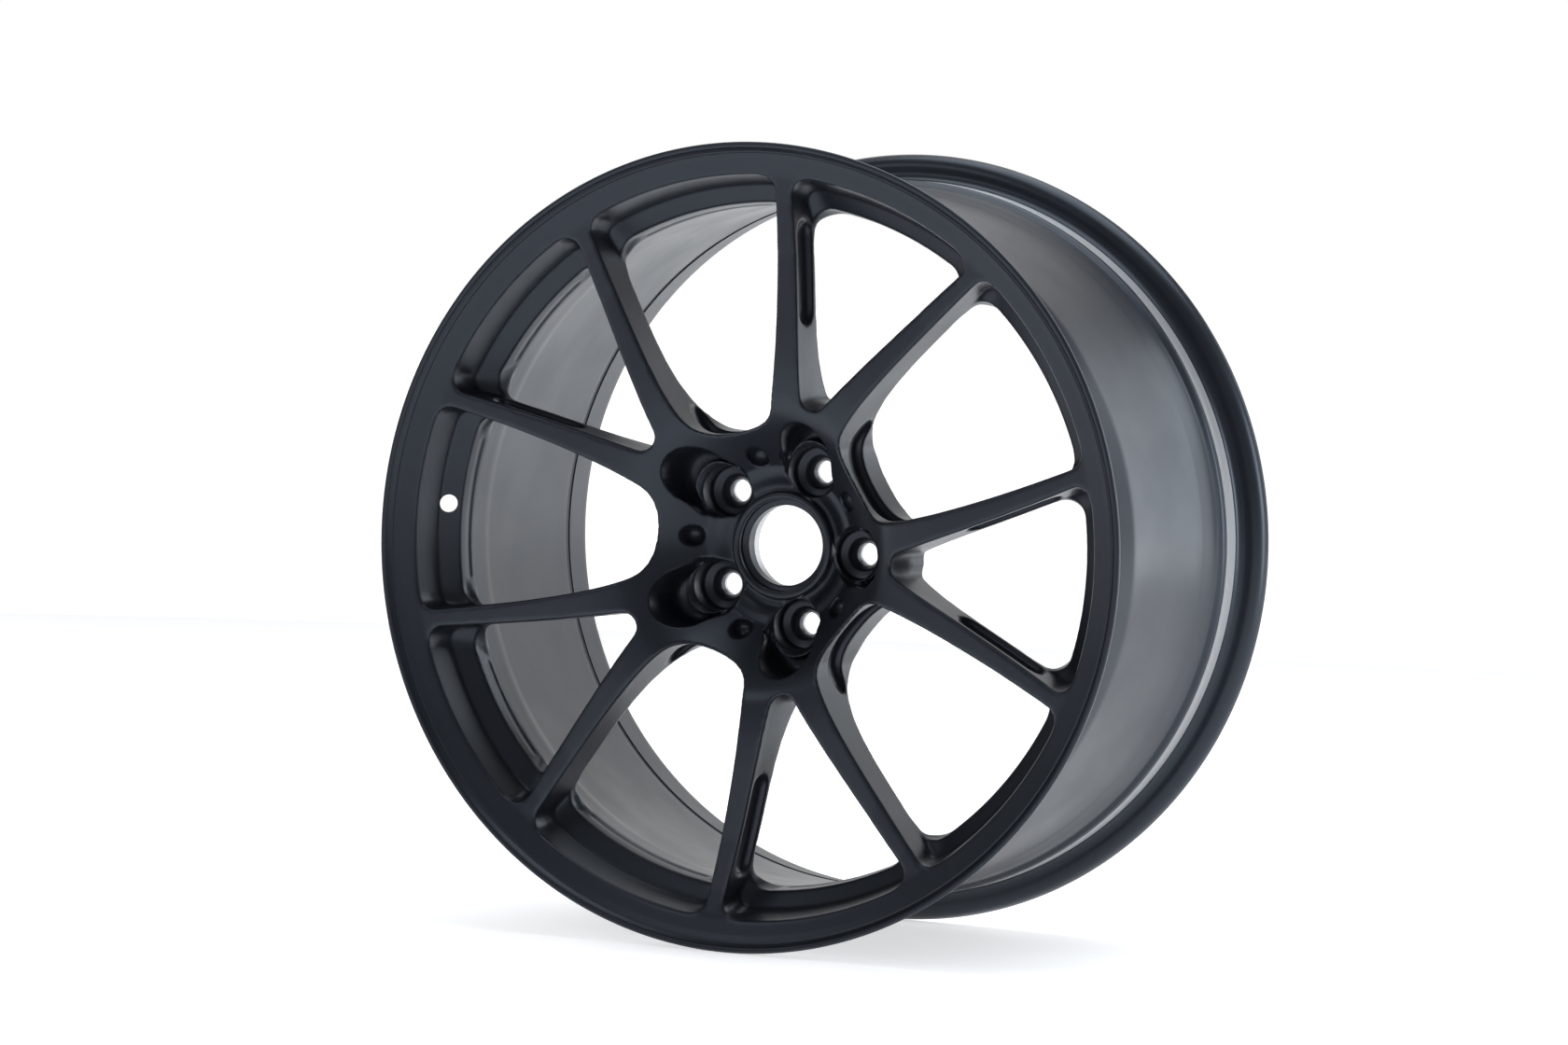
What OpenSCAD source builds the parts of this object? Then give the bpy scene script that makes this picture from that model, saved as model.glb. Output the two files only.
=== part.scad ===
// One-piece forged racing wheel, 18 x 9.5J, 5 x 100, offset +40 mm.
// +Y is the axle line. The styled face looks towards -Y and the brake side towards +Y.
// The origin is the centre of the rim width on the axle line.
// Shapes are drawn with "z" as the height towards the styled face, then laid on the axle.

/* [Rim] */
// Diameter over the two bead seats
bead_dia = 462; // [461:0.5:463]
// Width between the two flange faces that hold the tyre
rim_width = 241.3; // [236:0.1:246]
// Height of a flange above its bead seat
flange_h = 17.5; // [17:0.1:18]
// Radius of the rolled tyre side of a flange
flange_curl = 9.5; // [8:0.5:10]
// Thickness of a flange past its tyre side, to the crest
flange_lip = 10.2; // [9:0.1:11]
// Taper of a bead seat, in degrees
bead_taper = 5; // [4:0.5:6]
// Radius of the drop-centre well on the tyre side
well_r = 213.9; // [212:0.1:215]
// Inner radius of the barrel behind the spokes
barrel_r_outboard = 210.5; // [209:0.1:211]
// Inner radius of the barrel at the brake side
barrel_r_inboard = 222.8; // [221:0.1:224]

/* [Spokes] */
// Height of the spoke face above the rim centre plane
face_z = 118.2; // [116:0.1:120]
// Inner radius of the lip that the spokes run into
window_r = 228.8; // [227:0.1:230]
// Radius where the spokes leave the hub disc
spoke_root_r = 100; // [98:1:104]
// Thickness of a spoke from face to back
spoke_t = 29.5; // [24:0.5:32]
// Half the width of the narrow window at its outer corners
narrow_half_w = 60.5; // [59:0.5:61]
// Half the width of the wide window at its outer corners
wide_half_w = 65.3; // [64:0.5:66]
// Radius of the round root of the narrow window
narrow_root_r = 8.9; // [8:0.1:10]
// Distance from the axle to the root of the narrow window
narrow_root_v = 92; // [91:0.5:93]
// Distance from the axle to the root of the wide window
wide_root_v = 72.5; // [72:0.5:74]
// Angle of the first narrow window from the +X axis, in degrees
phase = -3.5; // [-18:0.5:18]

/* [Hub] */
// Offset of the mounting face from the rim centre plane
offset_et = 40; // [38:0.5:42]
// Diameter of the centre bore that locates on the hub
bore_dia = 56.1; // [56.1:0.1:60.1]
// Diameter of the opening for the centre cap
cap_dia = 50.2; // [49:0.1:52]
// Outer diameter of the mounting face
pad_dia = 140; // [136:1:144]
// Bolt circle diameter
bolt_circle = 100; // [98:0.1:102]
// Diameter of a wheel bolt hole
bolt_hole_dia = 14; // [13:0.5:15]
// Diameter of the pocket that a wheel nut sits in
nut_pocket_dia = 31.4; // [30:0.2:32]
// Diameter of the valve hole
valve_dia = 11.3; // [11:0.1:12]
// Angle of the valve hole round the axle, from +X towards +Z
valve_angle = 176.1; // [170:0.1:180]

/* [Hidden] */
$fn = 96;
CURVE_STEPS = 8;
LUGS = 5;
pitch = 360 / LUGS;

// Rim stations along the axle, positive towards the styled face
bead_r = bead_dia / 2;
flange_z = rim_width / 2;
crest_z = flange_z + flange_lip;
flange_r = bead_r + flange_h;
heel_fillet = 6.5;
hump_z = flange_z - 21.5;
hump_r = bead_r - 0.6;
hump_half = 4;
lip_step_r = flange_r - 5;
lip_step_z = crest_z - 3.4;
window_z = crest_z - 9.4;
ledge_top = [window_r - 4.8, crest_z - 31.4];
ledge_low = [barrel_r_outboard + 1.9, crest_z - 38.4];
ledge_end = [barrel_r_outboard, crest_z - 52.9];
barrel_start = [barrel_r_outboard + 1.4, crest_z - 76.4];
barrel_end = [barrel_r_inboard, -crest_z + 47.9];
well_z0 = ledge_low[1] - 5.5;
well_z1 = 52;
well_rise_z = 28;
well_rise = 6;

// Planes that divide the rim into its named rings
z_flange = flange_z - 8.6;
z_seat = flange_z - 16.6;
z_well = 50;

// Heights of the hub stations
pad_z = offset_et;
pad_t = 8;
bore_relief_z = pad_z + pad_t;
neck_z = 55.5;
cap_floor_z = 63.2;
collar_z = 70;
valley_out_z = 66.5;
valley_z = 65.5;
nut_floor_z = 55;
nut_seat_z = 49.3;
boss_z = 71.5;
ridge_z = 71.7;

// Radii of the hub stations
bore_r = bore_dia / 2;
cap_r = cap_dia / 2;
collar_in_r = 29;
collar_r = 33.8;
valley_r = 36.5;
ridge_r = 49.3;
bolt_r = bolt_circle / 2;
bolt_hole_r = bolt_hole_dia / 2;
nut_pocket_r = nut_pocket_dia / 2;
nut_seat_r = 10.3;
boss_r = 18;
boss_shift = 1.2;
scoop_r = 18.4;
scoop_v = 63.9;
scoop_floor_z = 66;
scoop_nose_r = 8;
dimple_r = 6.2;
dimple_v = 56;
dimple_floor_z = 65;

// ---- Curves ----

// Points on an arc about (cr, cz), from angle a0 to a1
function arc(cr, cz, rad, a0, a1, n = CURVE_STEPS) =
    [for (i = [0:n]) let (a = a0 + (a1 - a0) * i / n) [cr + rad * cos(a), cz + rad * sin(a)]];

// Points on a cubic curve from p0 to p3 that leans on p1 and p2
function bend(p0, p1, p2, p3, n = CURVE_STEPS) =
    [for (i = [0:n]) let (t = i / n, s = 1 - t)
        s * s * s * p0 + 3 * s * s * t * p1 + 3 * s * t * t * p2 + t * t * t * p3];

function flip_u(pts) = [for (i = [len(pts) - 1:-1:0]) [-pts[i][0], pts[i][1]]];

// ---- Rim section, as [radius, height] ----

// Tyre side of one flange and its bead seat, from the crest to the hump, for height z > 0
function tyre_side() = concat(
    [[flange_r, crest_z]],
    arc(flange_r - flange_curl, flange_z + flange_curl, flange_curl, 0, -90),
    arc(bead_r + heel_fillet, flange_z - heel_fillet, heel_fillet, 90, 180),
    [[bead_r - (flange_z - hump_z - hump_half) * tan(bead_taper), hump_z + hump_half],
     [hump_r, hump_z + 1], [hump_r, hump_z - 1], [hump_r - 2, hump_z - hump_half]]);

function mirror_z(pts) = [for (i = [len(pts) - 1:-1:0]) [pts[i][0], -pts[i][1]]];

rim_section = concat(
    tyre_side(),
    [[ledge_top[0] + 2.4, ledge_top[1] - 4], [well_r + 1, well_z0 + 1], [well_r, well_z0 - 2],
     [well_r, well_z1], [well_r + well_rise, well_rise_z], [barrel_end[0] + 4, barrel_end[1] - 4]],
    mirror_z(tyre_side()),
    [[flange_r - 9.5, -crest_z], [flange_r - 16.5, -crest_z + 7], [flange_r - 22, -crest_z + 15],
     barrel_end + [0.8, -1], barrel_end, barrel_start, ledge_end, ledge_low, ledge_top,
     [window_r, window_z], [window_r + 0.9, window_z + 1], [lip_step_r, lip_step_z],
     [lip_step_r + 2, crest_z]]);

// ---- Spoke face and back, as [radius, height] ----

// Height of the face where a spoke leaves the hub disc
root_face_z = face_z - 2.6;
// Height of the plain back of a spoke
spoke_back_z = face_z - spoke_t;
// The back drops towards the hub: how far below the plain back it lies, at each radius
root_back_drop = 15.2;
back_curve = [[108, 9.7], [120, 4.3], [133, 1.5], [150, 0], [190, -0.5], [203, 2.7]];
hub_back_drop = 29.2;
root_back = [spoke_root_r, spoke_back_z - root_back_drop];

hub_face = concat(
    [[ridge_r, ridge_z]],
    bend([ridge_r + 1, ridge_z + 1.2], [78, 104], [84, root_face_z - 2], [spoke_root_r, root_face_z]));
spoke_face = concat(
    bend([spoke_root_r, root_face_z], [108, root_face_z + 1.4], [118, face_z], [150, face_z], 4),
    [[180, face_z + 0.3], [window_r, window_z]]);
hub_back = [[pad_dia / 2 - 4, bore_relief_z], [pad_dia / 2 + 9, bore_relief_z + 2.5],
    [pad_dia / 2 + 18, spoke_back_z - hub_back_drop], root_back];
spoke_back = concat(
    [root_back],
    [for (p = back_curve) [p[0], spoke_back_z - p[1]]],
    [ledge_end, ledge_low, ledge_top]);

// ---- Window edges, as [across, outward] with the window's centre line at zero ----
corner_r = 9.3;
corner_v = 213.3;
narrow_side = concat(
    arc(0, narrow_root_v + narrow_root_r, narrow_root_r, -90, -24, 4),
    bend([12, 106], [28, 142], [46, 180], [58.6, 204.5], 5),
    arc(narrow_half_w - corner_r, corner_v, corner_r, -18, 70, 5));
wide_side = concat(
    bend([0, wide_root_v], [14, wide_root_v], [25, 75], [29.5, 83.5]),
    bend([29.5, 83.5], [40, 103], [52, 150], [62.5, 204]),
    arc(wide_half_w - corner_r, corner_v - 1.5, corner_r, -18, 60, 5));

// Turns points by angle a, clockwise seen with outward up
function turned(pts, a) = [for (p = pts) [p[0] * cos(a) + p[1] * sin(a), p[1] * cos(a) - p[0] * sin(a)]];
function reversed(pts) = [for (i = [len(pts) - 1:-1:0]) pts[i]];

// ---- Placing ----
module on_axle() {
    rotate([90, 0, 0]) children();
}

// Turns the outward direction from +Y of the drawing to the given angle from +X
module facing(a) {
    rotate([0, 0, a - 90]) children();
}

module around_lugs() {
    for (i = [0:LUGS - 1]) facing(phase + pitch * i) children();
}

module around_dimples() {
    for (i = [0:LUGS - 1]) facing(phase + pitch * (i + 0.5)) children();
}

module black() {
    color([0.17, 0.18, 0.2]) children();
}

module bare() {
    color([0.72, 0.73, 0.75]) children();
}

// ---- Rim rings ----
// Band of radii that holds the whole rim section
rim_inner_limit = 200;
rim_depth = 60;
module rim_ring(z0, z1) {
    on_axle() rotate_extrude() intersection() {
        polygon(rim_section);
        translate([rim_inner_limit, z0]) square([rim_depth, z1 - z0]);
    }
}

module outboard_flange() black() rim_ring(z_flange, crest_z + 1);
module outboard_bead_seat() black() rim_ring(z_seat, z_flange);

module drop_well() black() difference() {
    rim_ring(z_well, z_seat);
    on_axle() valve_bore();
}

module barrel() black() rim_ring(barrel_end[1], z_well);
module inboard_bead_seat() black() rim_ring(-z_flange, barrel_end[1]);
module inboard_flange() black() rim_ring(-crest_z - 1, -z_flange);

// The valve hole goes square through the sloping wall behind the wide window opposite the first lug
valve_along = 0.41;
valve_at = ledge_top + valve_along * (ledge_low - ledge_top);
valve_tilt = atan2(ledge_top[1] - ledge_low[1], ledge_top[0] - ledge_low[0]);
module valve_bore() {
    facing(valve_angle) translate([0, valve_at[0], valve_at[1]])
        rotate([valve_tilt, 0, 0]) cylinder(r = valve_dia / 2, h = 30, center = true);
}

// ---- Windows ----
module narrow_window() {
    around_lugs() linear_extrude(crest_z + 1)
        polygon(concat(flip_u(narrow_side), narrow_side));
}

module wide_window() {
    around_dimples() linear_extrude(crest_z + 1)
        polygon(concat(flip_u(wide_side), wide_side));
}

// ---- Hub ----
module hub_disc() black() on_axle() difference() {
    rotate_extrude() intersection() {
        polygon(concat(
            [[bore_r + 0.6, bore_relief_z], [bore_r + 0.6, neck_z], [collar_r, neck_z],
             [collar_r, valley_out_z], [valley_r, valley_z], [ridge_r - 9, collar_z]],
            hub_face, reversed(hub_back)));
        square([spoke_root_r, crest_z]);
    }
    narrow_window();
    wide_window();
    around_lugs() scoop();
    around_lugs() translate([0, bolt_r + boss_shift, 0]) cylinder(r = boss_r, h = crest_z);
    around_dimples() translate([0, dimple_v, dimple_floor_z]) cylinder(r = dimple_r, h = 40);
}

// Deep pocket outboard of each lug, with a round end, a rounded floor and straight sides to the boss
module scoop() {
    translate([0, scoop_v, 0]) rotate_extrude() polygon(concat(
        [[0, scoop_floor_z]],
        arc(scoop_r - scoop_nose_r, scoop_floor_z + scoop_nose_r, scoop_nose_r, -90, 0, 5),
        [[scoop_r, crest_z], [0, crest_z]]));
    translate([-scoop_r, bolt_r, scoop_floor_z]) cube([2 * scoop_r, scoop_v - bolt_r, crest_z]);
}

module bore_collar() black() on_axle() rotate_extrude()
    polygon([[cap_r, neck_z], [cap_r, cap_floor_z], [collar_in_r - 0.6, cap_floor_z + 1.4],
             [collar_in_r, collar_z - 0.8], [collar_in_r + 1, collar_z], [collar_r - 1, collar_z],
             [collar_r, collar_z - 1], [collar_r, neck_z]]);

module mounting_pad() bare() on_axle() difference() {
    rotate_extrude() polygon([[bore_r, pad_z + 1], [bore_r + 1, pad_z], [pad_dia / 2 - 1.5, pad_z],
        [pad_dia / 2, pad_z + 1.5], [pad_dia / 2 - 1, bore_relief_z], [bore_r, bore_relief_z]]);
    around_lugs() translate([0, bolt_r, 0]) cylinder(r = bolt_hole_r, h = crest_z);
}

// Raised ring round one wheel bolt, with the pocket and the 60 degree seat for its nut
module lug_boss(i) black() on_axle() facing(phase + pitch * (i - 1)) difference() {
    translate([0, bolt_r + boss_shift, bore_relief_z]) cylinder(r = boss_r, h = boss_z - bore_relief_z);
    translate([0, bolt_r, 0]) rotate_extrude()
        polygon([[0, 0], [bolt_hole_r, 0], [bolt_hole_r, nut_seat_z], [nut_seat_r, nut_floor_z],
                 [nut_pocket_r, nut_floor_z], [nut_pocket_r, crest_z], [0, crest_z]]);
    cylinder(r = collar_r, h = crest_z);
}

// ---- Spokes ----

function flip_side(pts) = [for (p = pts) [-p[0], p[1]]];

// Distances from the axle past which each window edge is also a spoke edge
spoke_narrow_start_v = 97;
spoke_wide_start_v = 84;
// Outline of one spoke, between a narrow window on its left and a wide window on its right
spoke_outline = concat(
    [for (p = narrow_side) if (p[1] > spoke_narrow_start_v) p],
    [for (p = turned(reversed(flip_side(wide_side)), pitch / 2)) if (p[1] > spoke_wide_start_v) p]);

module spoke(i) {
    lug = ceil(i / 2) - 1;
    side = i % 2;
    black() on_axle() facing(phase + pitch * lug) intersection() {
        rotate_extrude() polygon(concat(spoke_face, reversed(spoke_back)));
        mirror([side, 0, 0]) linear_extrude(crest_z) polygon(spoke_outline);
    }
}

outboard_flange();
outboard_bead_seat();
drop_well();
barrel();
inboard_bead_seat();
inboard_flange();
hub_disc();
mounting_pad();
bore_collar();
lug_boss(1);  // lug_boss_1
lug_boss(2);  // lug_boss_2
lug_boss(3);  // lug_boss_3
lug_boss(4);  // lug_boss_4
lug_boss(5);  // lug_boss_5
spoke(1);  // spoke_01
spoke(2);  // spoke_02
spoke(3);  // spoke_03
spoke(4);  // spoke_04
spoke(5);  // spoke_05
spoke(6);  // spoke_06
spoke(7);  // spoke_07
spoke(8);  // spoke_08
spoke(9);  // spoke_09
spoke(10);  // spoke_10
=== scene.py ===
import math

import bpy
from mathutils import Matrix, Vector


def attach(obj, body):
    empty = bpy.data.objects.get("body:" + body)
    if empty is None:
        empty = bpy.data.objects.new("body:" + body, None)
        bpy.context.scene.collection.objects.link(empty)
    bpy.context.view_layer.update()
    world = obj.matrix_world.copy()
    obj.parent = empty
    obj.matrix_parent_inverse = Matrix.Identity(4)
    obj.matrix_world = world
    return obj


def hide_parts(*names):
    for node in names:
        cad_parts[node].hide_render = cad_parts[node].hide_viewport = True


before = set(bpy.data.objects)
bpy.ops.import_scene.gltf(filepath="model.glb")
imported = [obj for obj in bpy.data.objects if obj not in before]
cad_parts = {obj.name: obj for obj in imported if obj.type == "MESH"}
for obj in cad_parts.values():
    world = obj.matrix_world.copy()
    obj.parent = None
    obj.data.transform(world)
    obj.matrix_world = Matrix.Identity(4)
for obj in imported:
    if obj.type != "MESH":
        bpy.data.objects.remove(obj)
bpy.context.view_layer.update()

# ---------------------------------------------------------------------------
# Driving sizes of the wheel, in millimetres unless the name says otherwise.
# Sections are written as (radius, height): the height is measured along the
# axle from the middle of the rim and is positive towards the styled face.
# ---------------------------------------------------------------------------
MM = 0.001
LUGS = 5
PITCH = 360 / LUGS
PHASE = -3.5
BOLT_R = 50.0
FLANGE_R = 248.5
FLANGE_H = 120.65
CREST_H = 130.85
WINDOW_R = 228.8
WINDOW_H = 121.5
LEDGE_TOP = (224.0, 99.5)
LEDGE_LOW = (212.4, 92.5)
LEDGE_END = (210.5, 78.0)
COLLAR_R = 33.8
VALVE_ANGLE = 176.1

# How finely the centre is skinned, and how far its edges are then rounded
SKIN_MM = 0.9
BROAD_ROUNDING = 10
FINE_ROUNDING = 3


# ---- Small tools -----------------------------------------------------------
def only(obj):
    """Selects one object alone and makes it the active one."""
    bpy.ops.object.select_all(action="DESELECT")
    obj.select_set(True)
    bpy.context.view_layer.objects.active = obj
    return obj


def drop(obj):
    """Throws away an object and its mesh."""
    mesh = obj.data
    bpy.data.objects.remove(obj)
    bpy.data.meshes.remove(mesh)


def arc(cr, ch, radius, start, end, steps=8):
    """Points on a circle about (cr, ch), from one angle in degrees to another."""
    angles = [math.radians(start + (end - start) * i / steps) for i in range(steps + 1)]
    return [(cr + radius * math.cos(a), ch + radius * math.sin(a)) for a in angles]


def bend(p0, p1, p2, p3, steps=8):
    """Points on a cubic curve from p0 to p3 that leans on p1 and p2."""
    points = []
    for i in range(steps + 1):
        t = i / steps
        s = 1 - t
        points.append(tuple(
            s ** 3 * a + 3 * s * s * t * b + 3 * s * t * t * c + t ** 3 * d
            for a, b, c, d in zip(p0, p1, p2, p3)))
    return points


def new_mesh(name, points, faces, edges=()):
    """A mesh object from points given as (across, outward, height), outward being +Z of the scene."""
    mesh = bpy.data.meshes.new(name)
    mesh.from_pydata([(u * MM, -h * MM, v * MM) for u, v, h in points], edges, faces)
    obj = bpy.data.objects.new(name, mesh)
    bpy.context.scene.collection.objects.link(obj)
    return obj


def loft(name, loops):
    """Skins a row of matching closed loops and caps both ends."""
    n = len(loops[0])
    points = [p for loop in loops for p in loop]
    faces = []
    for k in range(len(loops) - 1):
        for i in range(n):
            j = (i + 1) % n
            faces.append((k * n + i, k * n + j, (k + 1) * n + j, (k + 1) * n + i))
    faces.append(tuple(range(n)))
    faces.append(tuple(range((len(loops) - 1) * n, len(loops) * n))[::-1])
    obj = new_mesh(name, points, faces)
    outward(obj)
    return obj


def outward(obj):
    """Joins doubled points, clears loose ones and turns every face outward."""
    only(obj)
    bpy.ops.object.mode_set(mode="EDIT")
    bpy.ops.mesh.select_all(action="SELECT")
    bpy.ops.mesh.remove_doubles(threshold=0.002 * MM)
    bpy.ops.mesh.delete_loose(use_verts=True, use_edges=True, use_faces=False)
    bpy.ops.mesh.select_all(action="SELECT")
    bpy.ops.mesh.normals_make_consistent(inside=False)
    bpy.ops.object.mode_set(mode="OBJECT")


def turn_on_lathe(name, section, steps=240, angle=360.0, at=(0.0, 0.0)):
    """Spins a closed section about the axle, or about a line beside it at (across, outward)."""
    au, av = at
    whole = angle >= 360
    points = [(0.0, r, h) for r, h in section]
    n = len(points)
    if whole:
        obj = new_mesh(name, points, [], [(i, (i + 1) % n) for i in range(n)])
    else:
        obj = new_mesh(name, points, [tuple(range(n))])
        obj.data.transform(Matrix.Rotation(math.radians(angle / 2), 4, "Y"))
    only(obj)
    bpy.ops.object.mode_set(mode="EDIT")
    bpy.ops.mesh.select_all(action="SELECT")
    bpy.ops.mesh.spin(steps=steps, angle=math.radians(angle), center=(0, 0, 0), axis=(0, 1, 0))
    bpy.ops.object.mode_set(mode="OBJECT")
    outward(obj)
    if au or av:
        obj.data.transform(Matrix.Translation((au * MM, 0, av * MM)))
    return obj


def use_modifier(obj, kind, **settings):
    """Adds a modifier, sets it and applies it."""
    only(obj)
    mod = obj.modifiers.new(kind.lower(), kind)
    for key, value in settings.items():
        setattr(mod, key, value)
    bpy.ops.object.modifier_apply(modifier=mod.name)
    return obj


def cut(work, tool, how="DIFFERENCE"):
    """Cuts a tool solid out of the work, or keeps or adds it, and throws the tool away."""
    use_modifier(work, "BOOLEAN", operation=how, solver="EXACT", object=tool)
    drop(tool)
    return work


def skin(work, rounding):
    """Covers the work with an even skin and rounds its edges."""
    use_modifier(work, "REMESH", mode="VOXEL", voxel_size=SKIN_MM * MM, adaptivity=0.0)
    return use_modifier(work, "SMOOTH", factor=0.5, iterations=rounding)


def turned(obj, degrees):
    """Turns a piece about the axle, in its mesh: outward +Z goes to this angle from +X."""
    obj.data.transform(Matrix.Rotation(math.radians(90 - degrees), 4, "Y"))
    return obj


def copy_of(obj, name):
    """A copy of a piece with a mesh of its own."""
    twin = obj.copy()
    twin.data = obj.data.copy()
    twin.name = name
    twin.data.name = name
    bpy.context.scene.collection.objects.link(twin)
    return twin


# ---- Sections of the forging ------------------------------------------------
hub_face = [(COLLAR_R - 1, 65.4), (36.3, 64.3), (39.0, 65.6), (42.5, 69.0), (45.5, 71.0), (48.4, 71.7),
            (49.5, 72.0)]
bowl = bend((50.3, 72.9), (78, 104), (84, 113.6), (100, 115.6), 14)
spoke_face = bend((100, 115.6), (108, 116.9), (116, 118.1), (150, 118.2), 6)[1:]
lip_face = [(180, 118.6), (212, 120.4), (228, 121.9), (238, 125.2), (243.9, 127.4)]
spoke_back = [(203, 86.0), (190, 89.2), (150, 88.6), (133, 87.2), (120, 84.4), (108, 79), (100, 73.5),
              (88, 59.5), (79, 50.5), (70, 48)]

# Inside the rim's wall, halfway through it: the centre ends here and the rim rings begin
mid_wall = [(238, 125.2), (238, 122.9), (231.0, 120.2), (229.4, 115.5), (228.7, 110), (227.4, 101),
            (225.2, 97.2), (214.6, 90.2), (213.0, 86), (212.7, 79), (212.7, 66), (210.4, 66)]


# ---- Window plugs -----------------------------------------------------------
def narrow_half(root):
    """Right half of a narrow window's edge without its outer corner, from the root outward."""
    root_r = 8.9
    root_arc = arc(0, root + root_r, root_r, -90, -24, 10)
    side = bend((12.0, 106), (28, 142), (46, 180), (58.6, 204.5), 24)
    return root_arc + [p for p in side if p[1] > root_arc[-1][1] + 3] + [(64.6, 216.5), (72, 231)]


def wide_half(root):
    """Right half of a wide window's edge without its outer corner, from the root outward."""
    root_curve = bend((0, root), (14, root), (25, root + 2.5), (29.5, 83.5), 14)
    side = bend((29.5, 83.5), (40, 103), (52, 150), (62.5, 204), 24)
    return root_curve + side[1:] + [(64.8, 217), (67.5, 232)]


def resample(path, count):
    """The same path with points an even distance apart."""
    lengths = [0.0]
    for (u0, v0), (u1, v1) in zip(path, path[1:]):
        lengths.append(lengths[-1] + math.hypot(u1 - u0, v1 - v0))
    out = []
    k = 0
    for i in range(count):
        s = lengths[-1] * i / (count - 1)
        while k < len(path) - 2 and lengths[k + 1] < s:
            k += 1
        t = (s - lengths[k]) / (lengths[k + 1] - lengths[k])
        out.append((path[k][0] + t * (path[k + 1][0] - path[k][0]),
                    path[k][1] + t * (path[k + 1][1] - path[k][1])))
    return out


def grown(path, side_by, root_by):
    """Moves an edge away from its window: its sides by one distance and its root by another."""
    out = []
    for i, (u, v) in enumerate(path):
        u0, v0 = path[max(i - 1, 0)]
        u1, v1 = path[min(i + 1, len(path) - 1)]
        length = math.hypot(u1 - u0, v1 - v0)
        nu, nv = (v1 - v0) / length, -(u1 - u0) / length
        by = side_by * nu * nu + root_by * nv * nv
        out.append((u + nu * by, v + nv * by))
    out[0] = (0.0, out[0][1])
    return out


def with_corner(path, lip_r, corner_r, count_side=70, count_corner=14, count_top=26):
    """Ends a half edge with a round corner against the lip circle, then follows the lip to the middle."""
    best = None
    for i in range(1, len(path)):
        u, v = path[i]
        u0, v0 = path[i - 1]
        length = math.hypot(u - u0, v - v0)
        nu, nv = (v - v0) / length, -(u - u0) / length
        cu, cv = u - nu * corner_r, v - nv * corner_r
        miss = abs(math.hypot(cu, cv) - (lip_r - corner_r))
        if v > 150 and (best is None or miss < best[0]):
            best = (miss, i, cu, cv, math.atan2(nv, nu))
    _, i, cu, cv, start = best
    end = math.atan2(cv, cu)
    side = resample(path[:i + 1], count_side)
    corner = [(cu + corner_r * math.cos(start + (end - start) * k / count_corner),
               cv + corner_r * math.sin(start + (end - start) * k / count_corner))
              for k in range(1, count_corner + 1)]
    a0 = math.atan2(corner[-1][1], corner[-1][0])
    top = [(lip_r * math.cos(a0 + (math.pi / 2 - a0) * k / count_top),
            lip_r * math.sin(a0 + (math.pi / 2 - a0) * k / count_top)) for k in range(1, count_top + 1)]
    return side + corner + top


# Height, lip radius and corner radius at each level of a plug
PLUG_LEVELS = [(150, WINDOW_R + 4.5, 9.3), (WINDOW_H + 2, WINDOW_R + 0.5, 9.3), (WINDOW_H, WINDOW_R, 9.3),
               (110, 226.3, 9.2), LEDGE_TOP[::-1] + (9.2,), (96, 218.2, 10.0), LEDGE_LOW[::-1] + (11.5,),
               (88, 211.8, 13.5), (83, 211.15, 15.0), LEDGE_END[::-1] + (16.0,), (70, 209.0, 16.5),
               (30, 209.0, 16.5)]


def between(rows, x):
    """The value at x on a line through (x, value) rows that start at the largest x."""
    for (x1, y1), (x0, y0) in zip(rows, rows[1:]):
        if x >= x0:
            t = min((x - x0) / (x1 - x0), 1.0)
            return y0 + t * (y1 - y0)
    return rows[-1][1]


def window_plug(name, half_edge, root, root_draft, side_draft):
    """The solid that a window takes out of the disc.

    The drafts are rows of (height, how far its walls move in).
    """
    loops = []
    for h, lip_r, corner_r in PLUG_LEVELS:
        lean_root = between(root_draft, h)
        lean_side = between(side_draft, h)
        path = resample(grown(half_edge(root), lean_side, lean_root), 120)
        right = with_corner(path, lip_r, corner_r)
        left = [(-u, v) for u, v in right[1:-1]][::-1]
        loops.append([(u, v, h) for u, v in right + left])
    return loft(name, loops)


def narrow_plug():
    """What a narrow window takes out: its root leans outward towards the back."""
    return window_plug("narrow_plug", narrow_half, 92.0,
                       [(150, 0), (113.6, 0), (91, -5.2), (70, -6.2), (30, -6.5)],
                       [(150, 0), (118, 0), (88, 0.2), (30, 0.2)])


def wide_plug():
    """What a wide window takes out, between two pairs of spokes."""
    return window_plug("wide_plug", wide_half, 72.5, [(150, 0), (98, 0), (59, -2.5), (30, -3)],
                       [(150, 0), (118, 0), (88, -0.5), (30, -0.8)])


# ---- Milled pockets -----------------------------------------------------------
def trench(name, path, half_height, half_depth, height, nose):
    """A round-ended groove along a path on a wall: an oval swept along it, shrinking at both ends."""
    loops = []
    length = [0.0]
    for (u0, v0), (u1, v1) in zip(path, path[1:]):
        length.append(length[-1] + math.hypot(u1 - u0, v1 - v0))
    for i, (u, v) in enumerate(path):
        u0, v0 = path[max(i - 1, 0)]
        u1, v1 = path[min(i + 1, len(path) - 1)]
        run = math.hypot(u1 - u0, v1 - v0)
        nu, nv = (v1 - v0) / run, -(u1 - u0) / run
        near_end = min(length[i], length[-1] - length[i])
        x = min(near_end / nose, 1.0)
        size = max(math.sqrt(max(1 - (1 - x) ** 2, 0)), 0.04)
        loops.append([(u + nu * half_depth * size * math.cos(a), v + nv * half_depth * size * math.cos(a),
                       height + half_height * size * math.sin(a))
                      for a in [math.radians(15 * k) for k in range(24)]])
    return loft(name, loops)


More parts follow.
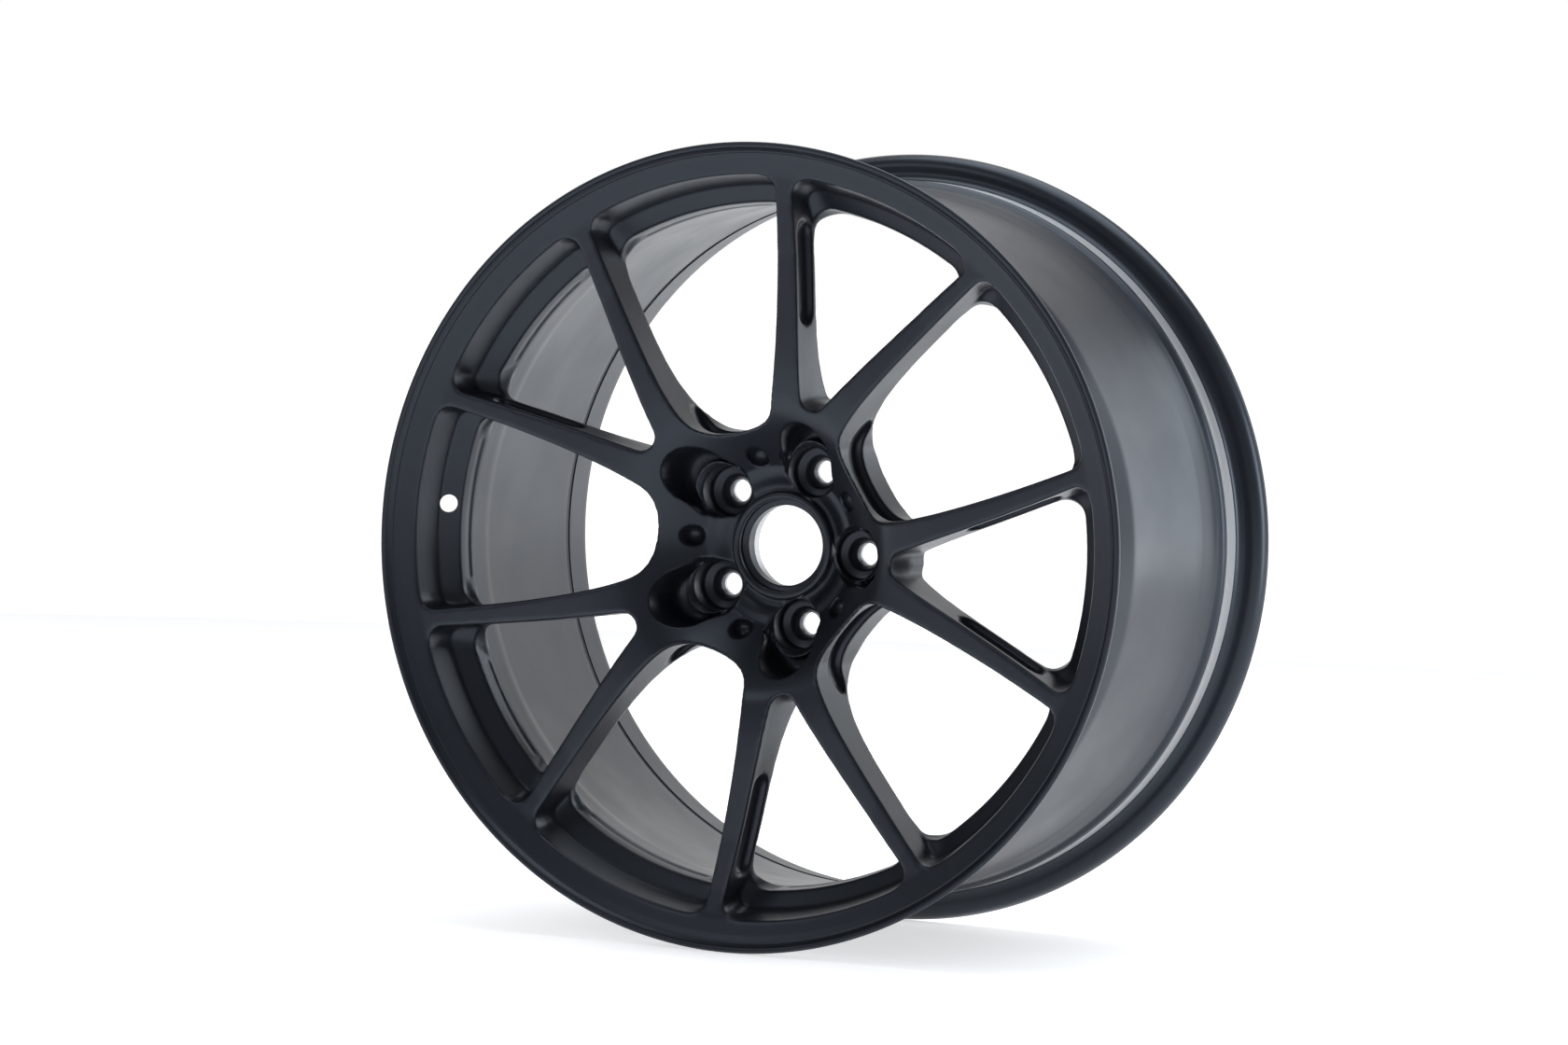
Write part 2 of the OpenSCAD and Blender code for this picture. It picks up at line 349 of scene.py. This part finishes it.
def spoke_pocket(side):
    """The long shallow pocket in a spoke's wall, on the narrow window's side."""
    wall = [p for p in resample(grown(narrow_half(95), 0.1, 0), 160) if 137 < p[1] < 196]
    return trench("spoke_pocket", [(side * u, v) for u, v in resample(wall, 40)], 9.0, 4.2, 103.6, 9.0)


def root_pocket():
    """The curved pocket round the root of a wide window."""
    right = [p for p in resample(grown(wide_half(73.5), -0.8, 0), 400) if p[1] < 97]
    right = resample(right, 40)
    left = [(-u, v) for u, v in right[1:]][::-1]
    return trench("root_pocket", left + right, 8.5, 4.6, 82.5, 14.0)


def stadium(v0, v1, radius, h, steps=16):
    """A loop with a round end at v1 and another at v0, level at height h."""
    far = [(radius * math.cos(a), v1 + radius * math.sin(a), h)
           for a in [math.pi * k / steps for k in range(steps + 1)]]
    near = [(radius * math.cos(a), v0 + radius * math.sin(a), h)
            for a in [math.pi + math.pi * k / steps for k in range(steps + 1)]]
    return far + near


def scoop_tool():
    """The deep pocket outboard of a lug, less the ring of metal that is left round the nut pocket."""
    scoop_r, floor, nose = 18.4, 66.0, 8.0
    levels = [(scoop_r - nose + nose * math.sin(a), floor + nose - nose * math.cos(a))
              for a in [math.radians(15 * k) for k in range(7)]]
    levels += [(scoop_r, 100), (scoop_r, 140)]
    scoop = loft("scoop", [stadium(51, 63.9, r, h) for r, h in levels])
    ring = loft("ring", [stadium(50.6, 54.6, 15.8, h) for h in (50, 75.5)])
    return cut(scoop, ring)


def nut_pocket_tool():
    """The round pocket for a nut, opening out at its mouth."""
    section = [(0, 40), (15.9, 40), (15.9, 71.2), (19.6, 75.5), (19.6, 76.0), (18.4, 140), (0, 140)]
    return turn_on_lathe("nut_pocket", section, 64, at=(0.0, BOLT_R))


def dimple_tool():
    """The small round-bottomed dimple between two lugs."""
    section = [(0, 69.8)] + arc(0, 76.0, 6.2, -75, 0, 6) + [(6.2, 110), (0, 110)]
    return turn_on_lathe("dimple", section, 48, at=(0.0, 56.0))


def ledge_groove(half_angle):
    """The shallow groove along the wall behind a window."""
    path = [(211.1 * math.sin(a), 211.1 * math.cos(a))
            for a in [math.radians(half_angle * (k / 20 - 1)) for k in range(41)]]
    return trench("ledge_groove", path, 3.1, 0.6, 83.2, 3.0)


def aside(tool, degrees):
    """Turns a tool about the axle, away from the middle of the sector."""
    tool.data.transform(Matrix.Rotation(math.radians(degrees), 4, "Y"))
    return tool


# ---- The centre: one sector with a narrow window, two spokes and a lug ----------
def centre_sector():
    """Turns a slice of the centre, cuts its windows and pockets, rounds it and trims it to a fifth."""
    oversize = [(246, 128.2), (246, 118), (238, 98), (222, 84), (218, 58), (210.95, 58), (211.05, 66),
                LEDGE_END]
    section = hub_face + bowl + spoke_face + lip_face + oversize + spoke_back + [(COLLAR_R - 1, 48)]
    work = turn_on_lathe("centre", section, 96, 92.0)
    cut(work, narrow_plug())
    for sign in (-1, 1):
        cut(work, aside(wide_plug(), sign * PITCH / 2))
    for sign in (-1, 1):
        cut(work, spoke_pocket(sign))
        cut(work, aside(root_pocket(), sign * PITCH / 2))
    skin(work, BROAD_ROUNDING)
    cut(work, scoop_tool())
    cut(work, nut_pocket_tool())
    cut(work, ledge_groove(9.5))
    for sign in (-1, 1):
        cut(work, aside(dimple_tool(), sign * PITCH / 2))
        cut(work, aside(ledge_groove(12.5), sign * PITCH / 2))
    skin(work, FINE_ROUNDING)
    outside = [(p[0], p[1]) for p in mid_wall]
    outside = [(238, 140)] + outside + [(205, 66), (205, 30), (260, 30), (260, 140)]
    cut(work, turn_on_lathe("outside", outside, 240))
    cut(work, turn_on_lathe("inside", [(20, 30), (COLLAR_R, 30), (COLLAR_R, 90), (20, 90)], 120))
    trim_to_sector(work)
    return work


def trim_to_sector(work):
    """Cuts the slice on the middle planes of its two wide windows and closes the cuts."""
    only(work)
    bpy.ops.object.mode_set(mode="EDIT")
    for sign in (-1, 1):
        a = math.radians(PITCH / 2)
        bpy.ops.mesh.select_all(action="SELECT")
        bpy.ops.mesh.bisect(plane_co=(0, 0, 0), plane_no=(sign * math.cos(a), 0, -math.sin(a)),
                            use_fill=True, clear_outer=True, threshold=1e-7)
    bpy.ops.object.mode_set(mode="OBJECT")


# ---- Rim rings -----------------------------------------------------------------
HEEL = 6.5
CURL = 9.5
BEAD_R = 231.0
HUMP_H = 99.15
HUMP_R = 230.4
RING_EDGES = {"outboard_flange": (112.05, 132), "outboard_bead_seat": (104.05, 112.05),
              "drop_well": (50, 104.05), "barrel": (-75, 50), "inboard_bead_seat": (-112.05, -75),
              "inboard_flange": (-132, -112.05)}


def tyre_side():
    """One flange, bead seat and hump on the tyre's side, from the crest inwards, for positive heights."""
    crest = arc(FLANGE_R - 1.3, CREST_H - 1.3, 1.3, 90, 0, 5)
    curl = arc(FLANGE_R - CURL, FLANGE_H + CURL, CURL, -4, -90, 14)
    heel = arc(BEAD_R + HEEL, FLANGE_H - HEEL, HEEL, 90, 180, 12)
    seat_end = (BEAD_R - (FLANGE_H - HEEL - HUMP_H - 5.5) * math.tan(math.radians(5)), HUMP_H + 5.5)
    hump = bend(seat_end, (seat_end[0] - 0.2, HUMP_H + 3.2), (HUMP_R + 0.9, HUMP_H + 2.6),
                (HUMP_R + 0.9, HUMP_H), 6)
    hump += bend((HUMP_R + 0.9, HUMP_H), (HUMP_R + 0.9, HUMP_H - 2.6), (HUMP_R - 0.9, HUMP_H - 3.4),
                 (HUMP_R - 2.2, HUMP_H - 5.2), 6)[1:]
    return crest + curl + heel + hump


def flipped(points):
    """The same points for the other side of the rim."""
    return [(r, -h) for r, h in points][::-1]


def rim_section():
    """The whole rim as a closed loop, its styled side left just inside the skin of the centre."""
    drop = bend((226.4, 93.6), (222, 91), (215.6, 91), (213.9, 85.5), 10)
    outboard_rise = (bend((213.9, 57), (213.9, 53.5), (214.2, 52), (214.9, 50), 6)
                     + bend((218.9, 33.6), (219.5, 31), (219.8, 29.5), (219.95, 26), 6))
    inboard_rise = bend((224.4, -74), (226, -84), (226.2, -88), (228.2, -93.9), 6)
    brake_lip = [(FLANGE_R - 1.3, -CREST_H)] + arc(FLANGE_R - 8.6, -CREST_H + 1.2, 1.2, 270, 200, 4)
    brake_side = [(FLANGE_R - 16.5, -CREST_H + 7), (FLANGE_R - 22, -CREST_H + 15), (224.6, -88.5)]
    ring_line = ([(223.3, -87.2), (222.9, -85.6), (223.6, -84.8)]
                 + bend((223.6, -82.2), (223.4, -80.4), (222.5, -80.0), (222.3, -77.6), 4))
    step = bend((212.85, 48.5), (212.4, 54.5), (211.35, 56.0), (211.15, 63.0), 8)
    inner = step + [(211.05, 66.0), (212.1, 66.3), (212.1, 86.4), (214.0, 90.9), (224.6, 97.7),
                    (226.7, 101.2), (228.0, 110.1), (228.6, 115.8), (230.4, 120.8), (237.2, 123.6),
                    (237.6, 125.05), (241.6, 126.6)]
    lip = bend((241.6, 126.6), (242.2, 126.2), (243.0, 126.4), (243.4, 127.5), 4)
    lip += [(243.9, 127.9), (245.3, 130.4), (246.2, CREST_H)]
    return (tyre_side() + drop + outboard_rise + inboard_rise + flipped(tyre_side())
            + brake_lip + brake_side + ring_line + inner + lip)


def rim_ring(name, section, edges):
    """One ring of the rim: the part of the section between two planes, spun."""
    low, high = edges
    ring = new_mesh(name, [(0.0, r, h) for r, h in section], [tuple(range(len(section)))])
    only(ring)
    bpy.ops.object.mode_set(mode="EDIT")
    for height, side in ((low, 1), (high, -1)):
        bpy.ops.mesh.select_all(action="SELECT")
        bpy.ops.mesh.bisect(plane_co=(0, -height * MM, 0), plane_no=(0, side, 0), clear_outer=True,
                            threshold=1e-7)
    bpy.ops.mesh.select_all(action="SELECT")
    bpy.ops.mesh.delete(type="ONLY_FACE")
    bpy.ops.mesh.select_all(action="SELECT")
    bpy.ops.mesh.spin(steps=288, angle=math.radians(360), center=(0, 0, 0), axis=(0, 1, 0))
    bpy.ops.object.mode_set(mode="OBJECT")
    outward(ring)
    return ring


# ---- Hub parts that are turned on their own ----------------------------------------
def collar():
    """The raised ring round the cap opening, with its lip and the neck behind it."""
    crest = [(29.0, 68.4), (29.3, 69.3), (30.0, 69.9), (31.0, 70.15), (32.2, 70.0), (33.1, 69.5),
             (33.6, 68.7), (33.8, 67.6)]
    return turn_on_lathe("bore_collar_ring", [
        (25.1, 55.5), (25.1, 62.8), (25.5, 63.2), (28.0, 63.6), (28.7, 64.2)] + crest + [
        (34.2, 65.2), (34.2, 48.0), (28.65, 48.0), (28.65, 55.5)], 192)


def nut_seat():
    """The floor of a nut pocket: a ledge, a 60 degree cone and the painted start of the bolt hole."""
    return turn_on_lathe("nut_seat", [
        (7.0, 43.6), (7.0, 48.7), (7.2, 49.3), (10.0, 54.1), (10.6, 54.8), (11.4, 55.1), (13.4, 55.3),
        (15.0, 56.2), (15.8, 57.8), (15.9, 60.0), (15.9, 64.5), (16.4, 64.5), (16.4, 46.0), (7.3, 46.0),
        (7.3, 43.6)], 96, at=(0.0, BOLT_R))


def pad():
    """The bare plate that meets the car's hub, with the bolt holes through it."""
    plate = turn_on_lathe("mounting_plate", [
        (28.05, 41.0), (29.05, 40.0), (68.8, 40.0), (69.9, 41.2), (69.9, 48.3), (28.05, 48.3)], 192)
    for k in range(LUGS):
        drill = turn_on_lathe("drill", [
            (0, 39), (7.8, 39), (7.8, 40.0), (7.0, 40.7), (7.0, 43.6), (7.25, 43.6), (7.25, 50),
            (0, 50)], 64, at=(0.0, BOLT_R))
        cut(plate, turned(drill, PHASE + PITCH * k))
    return plate


def valve_drill():
    """Tool for the valve hole, square to the sloping wall, with a small chamfer at its mouth."""
    lean = math.atan2(LEDGE_TOP[1] - LEDGE_LOW[1], LEDGE_TOP[0] - LEDGE_LOW[0])
    drill = turn_on_lathe("valve_drill",
                          [(0, -12), (5.65, -12), (5.65, 0), (6.3, 0.7), (6.3, 14), (0, 14)], 64)
    drill.data.transform(Matrix.Rotation(lean, 4, "X"))
    drill.data.transform(Matrix.Translation((0, -96.6 * MM, 219.2 * MM)))
    return turned(drill, VALVE_ANGLE)


# ---- Materials --------------------------------------------------------------------
def linear(code):
    """An sRGB hex colour as the linear numbers a shader wants."""
    parts = [int(code[i:i + 2], 16) / 255 for i in (0, 2, 4)]
    return [c / 12.92 if c <= 0.04045 else ((c + 0.055) / 1.055) ** 2.4 for c in parts] + [1.0]


def add(tree, kind, links=(), inputs=(), **settings):
    """Adds a node with its settings, its set inputs and its links from earlier outputs."""
    new = tree.nodes.new(kind)
    for key, value in settings.items():
        setattr(new, key, value)
    for key, value in dict(inputs).items():
        new.inputs[key].default_value = value
    for key, output in dict(links).items():
        tree.links.new(output, new.inputs[key])
    return new


def material(name):
    """An empty material with its output and the object's own coordinates, in metres."""
    made = bpy.data.materials.new(name)
    made.use_nodes = True
    made.node_tree.nodes.clear()
    place = add(made.node_tree, "ShaderNodeTexCoord").outputs["Object"]
    return made, made.node_tree, place


def bare_bead_seats(ring, metal):
    """Gives a ring's bead seat, on the tyre's side, the bare machined finish."""
    ring.data.materials.append(metal)
    for face in ring.data.polygons:
        place = face.center / MM
        radius = math.hypot(place.x, place.z)
        faces_out = face.normal.x * place.x + face.normal.z * place.z > 0
        if 103.2 < abs(place.y) < 115.6 and radius > 229.8 and faces_out:
            face.material_index = 1


def painted_forging():
    # Satin black paint: near black with a cool cast, faint unevenness of sheen and a very fine grain
    made, tree, place = material("satin_black_paint")
    clouds = add(tree, "ShaderNodeTexNoise", {"Vector": place},
                 {"Scale": 22.0, "Detail": 3.0, "Roughness": 0.5})
    sheen = add(tree, "ShaderNodeMapRange", {"Value": clouds.outputs["Fac"]},
                {"From Min": 0.3, "From Max": 0.7, "To Min": 0.33, "To Max": 0.41})
    grain = add(tree, "ShaderNodeTexNoise", {"Vector": place}, {"Scale": 1600.0, "Detail": 2.0})
    relief = add(tree, "ShaderNodeBump", {"Height": grain.outputs["Fac"]},
                 {"Strength": 0.05, "Distance": 0.0002})
    paint = add(tree, "ShaderNodeBsdfPrincipled",
                {"Roughness": sheen.outputs["Result"], "Normal": relief.outputs["Normal"]},
                {"Base Color": linear("171A20"), "Metallic": 0.0, "IOR": 1.5,
                 "Specular Tint": linear("D6E2F4"), "Coat Weight": 0.1, "Coat Roughness": 0.2,
                 "Coat IOR": 1.5})
    add(tree, "ShaderNodeOutputMaterial", {"Surface": paint.outputs["BSDF"]})
    return made


def machined_aluminium():
    # Bare turned aluminium: bright, with fine tool rings about the axle every few tenths of a millimetre
    made, tree, place = material("machined_aluminium")
    split = add(tree, "ShaderNodeSeparateXYZ", {"Vector": place})
    flat = add(tree, "ShaderNodeCombineXYZ", {"X": split.outputs["X"], "Y": split.outputs["Z"]})
    radius = add(tree, "ShaderNodeVectorMath", {"Vector": flat.outputs["Vector"]}, operation="LENGTH")
    along = add(tree, "ShaderNodeCombineXYZ", {"X": radius.outputs["Value"], "Y": split.outputs["Y"]})
    rings = add(tree, "ShaderNodeTexNoise", {"Vector": along.outputs["Vector"]},
                {"Scale": 2600.0, "Detail": 1.0})
    sheen = add(tree, "ShaderNodeMapRange", {"Value": rings.outputs["Fac"]},
                {"From Min": 0.3, "From Max": 0.7, "To Min": 0.44, "To Max": 0.58})
    relief = add(tree, "ShaderNodeBump", {"Height": rings.outputs["Fac"]},
                 {"Strength": 0.12, "Distance": 0.0001})
    metal = add(tree, "ShaderNodeBsdfPrincipled",
                {"Roughness": sheen.outputs["Result"], "Normal": relief.outputs["Normal"]},
                {"Base Color": linear("D3D4D6"), "Metallic": 1.0})
    add(tree, "ShaderNodeOutputMaterial", {"Surface": metal.outputs["BSDF"]})
    return made


def plain(name, code, roughness, glow):
    """A plain matt finish that glows a little, for the studio floor."""
    made, tree, _ = material(name)
    coat = add(tree, "ShaderNodeBsdfPrincipled", {}, {"Base Color": linear(code), "Roughness": roughness,
               "Emission Color": linear(code), "Emission Strength": glow})
    add(tree, "ShaderNodeOutputMaterial", {"Surface": coat.outputs["BSDF"]})
    return made


# ---- Putting the wheel together -------------------------------------------------------
black = painted_forging()
bare = machined_aluminium()


def finished(piece, look, nodes, degrees=32):
    """Smooths a piece, paints it, hangs it on the root body and hides the CAD nodes it stands in for."""
    only(piece)
    bpy.ops.object.shade_smooth_by_angle(angle=math.radians(degrees))
    piece.data.materials.clear()
    piece.data.materials.append(look)
    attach(piece, "root")
    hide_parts(*nodes)
    return piece


rim = rim_section()
for ring_name in RING_EDGES:
    ring = rim_ring("turned_" + ring_name, rim, RING_EDGES[ring_name])
    if ring_name == "drop_well":
        cut(ring, valve_drill())
    finished(ring, black, [ring_name])
    bare_bead_seats(ring, bare)

sector = centre_sector()
seat = nut_seat()
for k in range(LUGS):
    angle = PHASE + PITCH * k
    part = turned(copy_of(sector, "centre_%d" % (k + 1)), angle)
    if k in (2, 3):
        cut(part, valve_drill())
    finished(part, black,
             ["hub_disc", "lug_boss_%d" % (k + 1), "spoke_%02d" % (2 * k + 1), "spoke_%02d" % (2 * k + 2)])
    cup = turned(copy_of(seat, "nut_seat_%d" % (k + 1)), angle)
    finished(cup, black, ["lug_boss_%d" % (k + 1)])
drop(sector)
drop(seat)
finished(collar(), black, ["bore_collar"])
finished(pad(), bare, ["mounting_pad"])

# ---- Studio ---------------------------------------------------------------------------
FLOOR_Z = -FLANGE_R * MM


def white_floor(name, radius, height, glow):
    """A round white floor; the far one glows more, as a lit sweep does towards the back of a studio."""
    bpy.ops.mesh.primitive_circle_add(vertices=96, radius=radius, fill_type="NGON", location=(0, 0, height))
    floor = bpy.context.object
    floor.name = name
    floor.data.materials.append(plain("white_" + name, "F6F6F6", 0.9, glow))


white_floor("near_floor", 3.0, FLOOR_Z, 0.56)
white_floor("far_floor", 40.0, FLOOR_Z - 0.001, 1.0)


def softbox(name, place, aim, width, height, watts):
    """A soft rectangular lamp, aimed at a point."""
    light = bpy.data.lights.new(name, "AREA")
    light.color = (0.88, 0.94, 1.0)
    light.shape = "RECTANGLE"
    light.size, light.size_y = width, height
    light.energy = watts
    lamp = bpy.data.objects.new(name, light)
    bpy.context.scene.collection.objects.link(lamp)
    back = Vector(place) - Vector(aim)
    lamp.matrix_world = Matrix.Translation(place) @ back.to_track_quat("Z", "Y").to_matrix().to_4x4()


softbox("overhead", (0.2, 0.3, 2.2), (0, 0, 0), 2.4, 2.0, 42)
softbox("behind_right", (1.75, 2.6, 0.7), (0, 0, 0), 1.2, 2.2, 22)
softbox("right_side", (2.65, 0.25, 0.45), (0, 0, 0), 0.8, 1.6, 36)
softbox("front_high", (-1.2, -2.2, 1.7), (0, 0, 0), 1.2, 1.0, 7)
softbox("left_side", (-2.2, 0.5, 1.1), (0, 0, 0), 1.0, 1.4, 14)

world = bpy.data.worlds.new("studio_room")
bpy.context.scene.world = world
world.use_nodes = True
room = world.node_tree
room.nodes.clear()
heading = add(room, "ShaderNodeTexCoord").outputs["Generated"]
behind = add(room, "ShaderNodeVectorMath", {0: heading}, {1: (-0.41, 0.91, 0.0)}, operation="DOT_PRODUCT")
level = add(room, "ShaderNodeMapRange", {"Value": behind.outputs["Value"]},
            {"From Min": 0.62, "From Max": 0.8, "To Min": 0.2, "To Max": 1.0})
walls = add(room, "ShaderNodeBackground", {"Strength": level.outputs["Result"]},
            {"Color": linear("FFFFFF")})
add(room, "ShaderNodeOutputWorld", {"Surface": walls.outputs["Background"]})

# ---- Camera ---------------------------------------------------------------------------
CAMERA_TURN = math.radians(24.2731)
CAMERA_RISE = math.radians(2.5384)
CAMERA_ROLL = math.radians(2.3436)
back = Vector((math.sin(CAMERA_TURN) * math.cos(CAMERA_RISE),
               -math.cos(CAMERA_TURN) * math.cos(CAMERA_RISE),
               math.sin(CAMERA_RISE)))
right = Vector((math.cos(CAMERA_TURN), math.sin(CAMERA_TURN), 0.0))
up = back.cross(right)
rolled_right = right * math.cos(CAMERA_ROLL) + up * math.sin(CAMERA_ROLL)
rolled_up = up * math.cos(CAMERA_ROLL) - right * math.sin(CAMERA_ROLL)
lens = bpy.data.cameras.new("camera")
lens.lens = 143.263
lens.sensor_width = 36.0
camera = bpy.data.objects.new("camera", lens)
bpy.context.scene.collection.objects.link(camera)
camera.matrix_world = Matrix((rolled_right, rolled_up, back)).transposed().to_4x4()
camera.matrix_world.translation = Vector((1.5908, -3.5937, 0.1856)) + (rolled_up - rolled_right) * 0.00029
bpy.context.scene.camera = camera
bpy.context.scene.view_settings.view_transform = "Standard"
